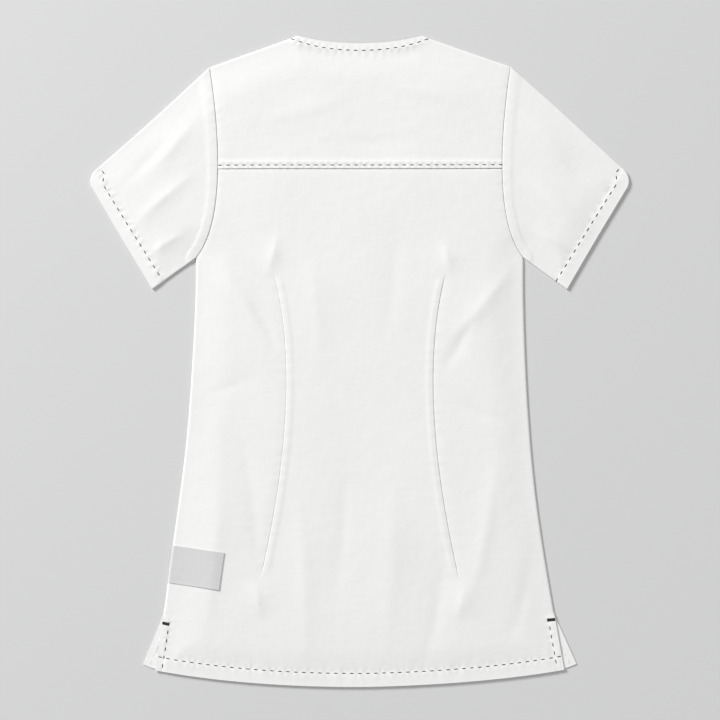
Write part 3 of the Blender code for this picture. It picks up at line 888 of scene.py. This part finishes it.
# %% Label tab
LABEL_HIGH, LABEL_LONG = 45, 60.4  # in mm, as are the next two lines; the moves in plan draw 60.4 out to 62
LABEL_START = 0.3  # in from the seam
LIFT_FROM, LIFT_RUN = 26, 36
LABEL_Y = -0.2425  # where its middle meets the seam
LABEL_CLEAR = 0.1 * MM  # over the back
LABEL_LIFT, LABEL_CURL = 0.5 * MM, 0.2 * MM  # of its loose end and its long edges
seam_at = [np.array((x_of("side", y), y)) for y in (LABEL_Y, LABEL_Y - 10 * MM)]
seam_down = unit(seam_at[1] - seam_at[0])
seam_in = np.array((seam_down[1], -seam_down[0]))
tape_ends = (2, 1.1, 0.5, 0.2, 0)
long_cells = [0, 0.3, 0.8, 1.5, 2.4, 3.4] + spaced(4.6, LABEL_LONG - 2, 1.8)
long_cells += [LABEL_LONG - cell for cell in tape_ends]
high_cells = [0, 0.2, 0.5, 1.1] + spaced(2, LABEL_HIGH - 2, 1.8) + [LABEL_HIGH - cell for cell in tape_ends]
table = np.zeros((len(high_cells), len(long_cells), 3))
for row, high in enumerate(high_cells):
    for column, far in enumerate(long_cells):
        across = high / LABEL_HIGH - 0.5
        from_seam = seam_down * across * (LABEL_HIGH * MM) + seam_in * (far + LABEL_START) * MM
        place = (seam_at[0] + from_seam) * (-1, 1)
        under = dropped(back_surface, laid(*place))[0].z
        lift = LABEL_LIFT * smooth((far - LIFT_FROM) / LIFT_RUN) * (0.8 + 0.4 * across)
        lift += LABEL_CURL * (2 * across) ** 4
        table[row, column] = (*place, under + CLOTH + LABEL_CLEAR + lift)
along_tape = math.degrees(math.atan2(seam_in[1], -seam_in[0]))
label = cloth_piece("side_label_tape", table, np.zeros(table.shape[:2]), grain=along_tape)

# %% [markdown]
# ## Finishes
#
# Each finish is one shader with a few nodes before it. These helpers turn a colour as a painter gives it into
# the linear one that the shader wants, add a node with its settings and links, and start a finish.

# %% Finish helpers
def colour(code):
    """Linear colour and alpha from an sRGB hex value."""
    parts = [int(code[start : start + 2], 16) / 255 for start in (1, 3, 5)]
    return (*(part / 12.92 if part <= 0.04045 else ((part + 0.055) / 1.055) ** 2.4 for part in parts), 1)


def add(material, kind, inputs=(), **settings):
    """A new node with its settings. Each input, in order or by name, is a value or the node or socket that
    feeds it."""
    node = material.node_tree.nodes.new("ShaderNode" + kind)
    for name, value in settings.items():
        setattr(node, name, value)
    for key, value in inputs.items() if isinstance(inputs, dict) else enumerate(inputs):
        if isinstance(value, bpy.types.Node):
            value = value.outputs[0]
        if isinstance(value, bpy.types.NodeSocket):
            material.node_tree.links.new(value, node.inputs[key])
        else:
            node.inputs[key].default_value = value
    return node


def new_finish(name, base, roughness, **sockets):
    """A new material, and its shader."""
    material = bpy.data.materials.new(name)
    material.use_nodes = True
    shader = material.node_tree.nodes["Principled BSDF"]
    settings = {"Base Color": colour(base), "Roughness": roughness, "IOR": 1.5, **sockets}
    for socket, value in settings.items():
        shader.inputs[socket].default_value = value
    return material, shader


print("white of the cloth, linear:", [round(part, 2) for part in colour("#F8F8F6")[:3]])

# %% [markdown]
# ## Woven cloth
#
# The cloth is poplin: a plain weave with fine, close threads, bleached white. What the eye gets from it is
# nearly all matt, soft light, a faint sheen at a low angle, and thicker threads, called slubs, that run a
# few centimetres along the weave. Real poplin has four or five threads to a millimetre. Here a thread is
# 0.35 mm wide, a little coarser, and shows only from close by. From afar the slubs stand for the weave, so
# they are drawn 1.6 mm wide, about three times the real ones.
#
# The tape of the label is woven too, from thicker grey yarn, so it looks ribbed and a shade darker.

# %% Plain weave
POPLIN_THREAD, TAPE_THREAD = 0.35 * MM, 0.9 * MM  # from the middle of one thread to the next


def plain_weave(material, threads, pitch, rib):
    """Height of threads that go over and under each other, up to 1.5 where one is on top. A rib below 1 makes
    those of the weft wider."""
    split = add(material, "SeparateXYZ", [threads])
    waves = []
    for axis, turns in (("X", math.pi / pitch), ("Y", math.pi / pitch * rib)):
        phase = add(material, "Math", [split.outputs[axis], turns], operation="MULTIPLY")
        waves.append(add(material, "Math", [phase], operation="COSINE"))
    over = add(material, "Math", waves, operation="MULTIPLY")  # above 0 the warp is on top, below 0 the weft
    tops = []
    for wave, share in zip(waves, (0.5, -0.5)):
        rounded = add(material, "Math", [wave], operation="ABSOLUTE")
        tops.append(add(material, "Math", [over, share, rounded], operation="MULTIPLY_ADD"))
    return add(material, "Math", tops, operation="MAXIMUM")


print("threads to a centimetre, poplin and tape:", [round(10 * MM / t) for t in (POPLIN_THREAD, TAPE_THREAD)])

# %% Uneven yarn
SLUB_WIDE, SLUB_LONG = 1.6 * MM, 34 * MM


def slubs(material, threads, along, across, seed):
    """Noise drawn out along one direction of the weave."""
    stretch = {"Vector": threads, "Scale": (1 / along, 1 / across, 1), "Location": (seed, seed, 0)}
    return add(material, "TexNoise", {"Vector": add(material, "Mapping", stretch), "Scale": 1, "Detail": 3})


def uneven_yarn(material, threads):
    """The slubs of the warp and the weft together."""
    warp = slubs(material, threads, SLUB_WIDE, SLUB_LONG, 3.1)
    weft = slubs(material, threads, SLUB_LONG, SLUB_WIDE, 7.7)
    fainter = add(material, "Math", [warp, 0.4], operation="MULTIPLY")
    return add(material, "Math", [weft, 0.6, fainter], operation="MULTIPLY_ADD")


print("a slub is long, in its own widths:", round(SLUB_LONG / SLUB_WIDE))

# %% Puckers
STITCH_PITCH = 9.6 * MM  # from one stitch to the next, and so from one pucker to the next


def puckers(material, threads):
    """Short ripples that the stitches draw in, 0 where nothing is sewn."""
    pull = add(material, "Attribute", attribute_name="pull").outputs["Fac"]
    along = add(material, "Attribute", attribute_name="stitch_along").outputs["Fac"]
    noise_here = add(material, "TexNoise", {"Vector": threads, "Scale": 60, "Detail": 1})
    drift = add(material, "Math", [noise_here, 9], operation="MULTIPLY")  # so that no two are alike
    phase = add(material, "Math", [along, math.tau / STITCH_PITCH, drift], operation="MULTIPLY_ADD")
    ripple = add(material, "Math", [phase], operation="SINE")
    return add(material, "Math", [ripple, pull], operation="MULTIPLY")


print("puckers to 100 mm of seam:", round(0.1 / STITCH_PITCH))

# %% Woven cloth
SLUB_HIGH, PUCKER_HIGH, CRUSH_HIGH = 0.07 * MM, 0.15 * MM, 0.35 * MM
CRUSH = 16 * MM  # size of the faint unevenness that washing leaves all over


def woven(name, light, dark, pitch, high, rib=1.0):
    """Cloth of one weave, with the slubs of its yarn, its puckers and a faint crush."""
    material, shader = new_finish(name, light, 0.82, **{"Sheen Weight": 0.15, "Sheen Roughness": 0.4})
    threads = add(material, "UVMap", uv_map="threads")
    weave = plain_weave(material, threads, pitch, rib)
    uneven = uneven_yarn(material, threads)
    pucker = puckers(material, threads)
    height = add(material, "Math", [uneven, SLUB_HIGH], operation="MULTIPLY")
    height = add(material, "Math", [weave, high, height], operation="MULTIPLY_ADD")
    height = add(material, "Math", [pucker, PUCKER_HIGH, height], operation="MULTIPLY_ADD")
    crush = add(material, "TexNoise", {"Vector": threads, "Scale": 1 / CRUSH, "Detail": 3})
    height = add(material, "Math", [crush, CRUSH_HIGH, height], operation="MULTIPLY_ADD")
    bump = add(material, "Bump", {"Strength": 1, "Distance": 1, "Height": height})
    material.node_tree.links.new(bump.outputs[0], shader.inputs["Normal"])

    # Thick yarn and doubled cloth let less light through, so they are a shade lighter.
    doubled = add(material, "Attribute", attribute_name="doubled").outputs["Fac"]
    tone = add(material, "Math", [uneven, 1.3], operation="MULTIPLY")
    tone = add(material, "Math", [doubled, 0.35, tone], operation="MULTIPLY_ADD")
    shade = add(material, "Mix", {"Factor": tone, "A": colour(dark), "B": colour(light)}, data_type="RGBA")
    material.node_tree.links.new(shade.outputs["Result"], shader.inputs["Base Color"])
    return material


POPLIN = woven("white_poplin", "#F8F8F6", "#F0F0EE", POPLIN_THREAD, high=0.01 * MM)
TAPE = woven("light_grey_woven_tape", "#DEDEDE", "#D0D0D1", TAPE_THREAD, high=0.04 * MM, rib=0.5)
for piece in (yoke, back, front, *sleeves.values()):
    piece.data.materials.append(POPLIN)
label.data.materials.append(TAPE)
print("steps in the finish of the cloth:", len(POPLIN.node_tree.nodes))

# %% [markdown]
# ## Stitches
#
# The topstitching is dark thread on white cloth, the one thing on this garment that shows from across a
# room. A machine makes about three stitches a centimetre with a thread of a third of a millimetre, and hides
# the thread between them. That is too fine for the picture, so here a stitch is 5 mm long and 1.1 mm wide,
# and the next starts 9.6 mm on, the rhythm of the reference, or a little further at the vents and the sleeve
# hems. The thread is spun polyester, two plies twisted together: soft, slightly hairy, with a dull shine. A
# bump that runs slantwise round each stitch shows the twist.

# %% Thread
STITCH = 5.0 * MM
THREAD, THREAD_HIGH = 1.1 * MM, 0.6 * MM  # pressed into the cloth, so it is wider than high
PLIES, TWISTS = 2, 10  # ridges round a stitch, one for each ply, and from end to end of it
TWIST_HIGH = 0.05 * MM


def thread(name, code):
    """Spun polyester thread with its twist."""
    material, shader = new_finish(name, code, 0.55, **{"Sheen Weight": 0.15, "Sheen Roughness": 0.5})
    split = add(material, "SeparateXYZ", [add(material, "UVMap", uv_map="twist")])
    plies = add(material, "Math", [split.outputs["X"], PLIES], operation="MULTIPLY")
    slant = add(material, "Math", [split.outputs["Y"], TWISTS, plies], operation="MULTIPLY_ADD")
    phase = add(material, "Math", [slant, math.tau], operation="MULTIPLY")
    twist = add(material, "Math", [phase], operation="SINE")
    height = add(material, "Math", [twist, TWIST_HIGH], operation="MULTIPLY")
    bump = add(material, "Bump", {"Strength": 1, "Distance": 1, "Height": height})
    material.node_tree.links.new(bump.outputs[0], shader.inputs["Normal"])
    return material


DARK_THREAD = thread("black_spun_thread", "#161618")
WHITE_THREAD = thread("white_spun_thread", "#F1F1EE")
print("threads:", DARK_THREAD.name, WHITE_THREAD.name)

# %% [markdown]
# One stitch is a small sphere drawn out to a bead with blunt ends that dip into the cloth. A run of them is
# laid along a line: each finds its height and tilt with a ray, and all of a piece's stitches share one mesh.

# %% One stitch
def add_stitch(bm, middle, heading, normal, size):
    """One bead of thread of a size (long, wide, high) that lies along heading, on a face that looks along
    normal."""
    made = bmesh.ops.create_uvsphere(bm, u_segments=8, v_segments=6, radius=1, calc_uvs=True)["verts"]
    axes = Matrix((heading, normal.cross(heading), normal)).transposed()
    long, wide, high = (extent / 2 for extent in size)
    for vert in made:
        ahead = vert.co.z  # the sphere's poles become the stitch's two ends
        fuller = max(1 - ahead**2, 0.01) ** -0.25  # a bead as wide near its ends as in the middle
        x, y = vert.co.x * fuller * wide, (vert.co.y * fuller - 0.5 * ahead**4) * high
        vert.co = middle + axes @ Vector((ahead * long, x, y))


trial = bmesh.new()
add_stitch(trial, Vector(), Vector((1, 0, 0)), Vector((0, 0, 1)), (STITCH, THREAD, THREAD_HIGH))
print("faces of one stitch:", len(trial.faces))
trial.free()

# %% Places along a line
def points_along(line, pitch, start):
    """Places a pitch apart along a line of the pattern, where they come to lie, and the heading at each."""
    line = np.array(line, dtype=float)
    length = lengths(line)

    def read(where):
        return np.stack(laid(*(np.interp(where, length, axis) for axis in line.T)), axis=1)

    at = np.arange(start, length[-1] - start * 0.7, pitch)  # the last may end closer to the end
    return zip(read(at), read(np.minimum(at + MM, length[-1])) - read(np.maximum(at - MM, 0)))


print("stitches on a line 100 mm long:", len(list(points_along([(0, 0), (0.1, 0)], STITCH_PITCH, STITCH))))

# %% A run of stitches
NEEDLE = 0.3 * MM  # gap between the end of a line and its first stitch
STANDS_UP = 0.15  # share of its height by which the middle of a stitch stands above the cloth


def sewing(name, material, runs):
    """Stitches of one piece. A run is a line, the surface under it, 1 or -1 for its upper or lower face,
    the pitch and the size of a stitch."""
    bm = bmesh.new()
    bm.loops.layers.uv.new("twist")
    count = 0
    for line, under, face, pitch, size in runs:
        for place, heading in points_along(line, pitch, size[0] / 2 + NEEDLE):
            hit, normal = dropped(under, place, face)
            if hit is None:
                continue
            # A stitch leans a third as far as the cloth under it, because its thread is pulled straight.
            normal = (normal * math.copysign(1, normal.z * face) + Vector((0, 0, 2 * face))).normalized()
            along = Vector((*heading, 0))
            along = (along - normal * along.dot(normal)).normalized()
            add_stitch(bm, hit + normal * size[2] * STANDS_UP, along, normal, size)
            count += 1
    bmesh.ops.recalc_face_normals(bm, faces=bm.faces[:])
    mesh = mesh_from(bm, name)
    mesh.materials.append(material)
    print(f"{name}: {count} stitches, {len(mesh.polygons)} faces")
    return placed(name, mesh)


# %% [markdown]
# Now the garment is sewn. The yoke and the back first: each run of stitches follows a line of the pattern,
# and starts a needle's width from its end. The rows beside the vents start under their bar tacks.

# %% Stitches of the yoke and the back
LONGER_PITCH = 10.15 * MM  # at the vents and the sleeve hems
ON_TOP = (STITCH, THREAD, THREAD_HIGH)
PRESSED = (STITCH, THREAD, 0.3 * MM)  # flat between the cloth and the table
TACKS = {
    # side: height of the middle, length, slant in degrees. The two tacks aren't quite alike.
    -1: (-0.3141, 8.5 * MM, 13),
    1: (-0.3096, 10.0 * MM, 5),
}
UNDER_TACK = 2.3 * MM  # the vent's row starts this far above the middle of its tack, hidden by it


def below(line, y):
    """The part of a vent's line below a height, from the top down."""
    line = line[::-1]
    start = (np.interp(-y, -line[:, 1], line[:, 0]), y)
    return np.vstack([start, line[line[:, 1] < y]])


yoke_surface = surface_of(yoke)
yoke_runs = [(line, yoke_surface, 1, STITCH_PITCH, ON_TOP) for line in (YOKE_STITCHES, NECK_STITCHES)]
yoke_sewing = sewing("back_yoke_stitches", DARK_THREAD, yoke_runs)

back_runs = [(HEM_STITCHES, back_surface, 1, STITCH_PITCH, ON_TOP)]
for side in SIDES:
    vent_line = below(VENT_EDGE - (VENT_BAND, 0), TACKS[side][0] + UNDER_TACK) * (side, 1)
    back_runs.append((vent_line, back_surface, 1, LONGER_PITCH, ON_TOP))
back_sewing = sewing("back_panel_stitches", DARK_THREAD, back_runs)

# %% [markdown]
# A sleeve's hem is sewn all round, so both of its layers carry the row. Near the rounded corner the row steps
# in and out, because the hem is folded back there over a curve. The two rows begin at slightly different
# places.

# %% Stitches of the sleeves
HEM_STARTS = {-1: (0.3097, 0.2295), 1: (0.3108, 0.2308)}
HEM_ROUND_CORNER = [(0.3061, 0.2249), (0.3077, 0.2205), (0.3080, 0.2165), (0.3071, 0.2114)]
sleeve_sewing = {}
for side, name in ((-1, "sleeve_left_stitches"), (1, "sleeve_right_stitches")):
    sleeve_surface = surface_of(sleeves[side])
    line = np.array([HEM_STARTS[side], *HEM_ROUND_CORNER, underarm_point(SLEEVE_HEM)]) * (side, 1)
    runs = [(line, sleeve_surface, face, LONGER_PITCH, size) for face, size in ((1, ON_TOP), (-1, PRESSED))]
    sleeve_sewing[side] = sewing(name, DARK_THREAD, runs)

# %% [markdown]
# The front is sewn from its outer face, which lies on the table: its hem, the edges of the vents and the V
# neck. On the inside, where the vent flaps show, the row is the bobbin's thread, which is white.

# %% Stitches of the front
front_surface = surface_of(front)
v_tip = [(0, V_BOTTOM - NECK_BAND), (0.75 * NECK_BAND, V_BOTTOM - 0.4 * NECK_BAND)]
v_line = np.vstack([v_tip, V_EDGE[4:] + (NECK_BAND, 0)])  # the tip stands for the edge's first four points
flap_line = np.array([FLAP_CORNER, vent_corner]) - (VENT_BAND, 0)
front_hem = thinned(LINE["hem"]) + (0, HEM_SHY + HEM_BAND)
flap_hem = np.array([front_hem[-1], FLAP_CORNER + (-2 * MM, HEM_BAND)])
front_runs, bobbin_runs = [], []
for side in SIDES:
    for line in (front_hem, flap_hem, flap_line, v_line):
        front_runs.append((line * (side, 1), front_surface, -1, STITCH_PITCH, PRESSED))
    bobbin_runs.append((flap_line * (side, 1), front_surface, 1, STITCH_PITCH, PRESSED))
front_sewing = sewing("front_panel_stitches", DARK_THREAD, front_runs)
bobbin_sewing = sewing("vent_flap_bobbin_stitches", WHITE_THREAD, bobbin_runs)

# %% [markdown]
# A bar tack closes the top of each vent, where the seam would tear first: a dense bar of stitches laid side
# by side across the seam's end, over the first stitch of the vent's row. It slants a little down towards the
# centre.

# %% Bar tacks
TACK_THREAD = (3.9 * MM, 0.75 * MM, 0.8 * MM)
TACK_PITCH = 0.55 * MM
ONE_EACH = 1.0  # a pitch of 1 m, so each short line carries one stitch
tack_runs = []
for side, (tack_y, tack_long, slant) in TACKS.items():
    tack_run = np.array((-math.cos(math.radians(slant)), -math.sin(math.radians(slant))))
    tack_across = np.array((-tack_run[1], tack_run[0])) * (TACK_THREAD[0] / 2 + NEEDLE)
    outer_end = np.array((x_of("side", tack_y), tack_y - tack_run[1] * tack_long / 2))
    for far in spaced(0.5 * MM, tack_long, TACK_PITCH):
        middle = outer_end + tack_run * far
        line = np.array([middle - tack_across, middle + tack_across]) * (side, 1)
        tack_runs.append((line, back_surface, 1, ONE_EACH, TACK_THREAD))
tack_sewing = sewing("vent_bar_tacks", DARK_THREAD, tack_runs)

# %% [markdown]
# ## The table, the light and the solids
#
# A plain pale table lets the white cloth stand out by its shadow alone. It is matt laminate, which gives the
# eye an even grey and no reflections. The key light is a large soft box, low and to the upper left, so that
# every hem, seam and crease throws a little shade. A weaker one opposite and a pale sky keep the shadows
# open.

# %% Table and light
bm = bmesh.new()
bmesh.ops.create_grid(bm, x_segments=1, y_segments=1, size=15)
table_top = placed("table", mesh_from(bm, "table"))
table_top.data.materials.append(new_finish("matt_pale_laminate", "#DADADA", 0.85)[0])


def soft_box(name, place, size, power):
    """An area light that looks at the middle of the garment."""
    data = bpy.data.lights.new(name, "AREA")
    data.size = size
    data.energy = power
    light = placed(name, data)
    light.location = place
    light.rotation_euler = Vector(place).to_track_quat("Z", "Y").to_euler()


soft_box("key", (-5.0, 4.5, 3.3), 2.0, 645)
soft_box("fill", (3.0, -2.4, 3.0), 2.6, 45)
world = bpy.data.worlds.new("pale_room")
world.use_nodes = True
world.node_tree.nodes["Background"].inputs["Color"].default_value = colour("#F6F7F8")
world.node_tree.nodes["Background"].inputs["Strength"].default_value = 0.36
bpy.context.scene.world = world
bpy.context.scene.view_settings.view_transform = "Standard"
print("lights:", [item.name for item in bpy.data.lights])

# %% [markdown]
# Last, each piece and its stitches are attached to the top, and the solid that the piece stands for is
# hidden;
# the table also lists the size each sheet of cloth was cut to. The top is one body, so everything rides on
# it.

# %% Pieces and their solids
SHEETS = (
    # piece, solid, slot, flat width and length, flat area, sewing on it
    (yoke, "back_yoke", "scrub_cloth", (0.361, 0.160), 0.0510, [yoke_sewing]),
    (back, "back_panel", "scrub_cloth", (0.491, 0.622), 0.2556, [back_sewing, tack_sewing]),
    (front, "front_panel", "scrub_cloth", (0.520, 0.781), 0.2932, [front_sewing, bobbin_sewing]),
    (sleeves[-1], "sleeve_left", "scrub_cloth", (0.482, 0.199), 0.0476, [sleeve_sewing[-1]]),
    (sleeves[1], "sleeve_right", "scrub_cloth", (0.482, 0.199), 0.0476, [sleeve_sewing[1]]),
    (label, "side_label", "label_cloth", (0.062, 0.045), 0.0028, []),
)
for piece, solid, slot, flat, area, sewn in SHEETS:
    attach(piece, "root")
    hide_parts(solid)
    for stitches in sewn:
        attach(stitches, "root")
    area = min(area, flat[0] * flat[1])  # no sheet has more cloth than its own rectangle
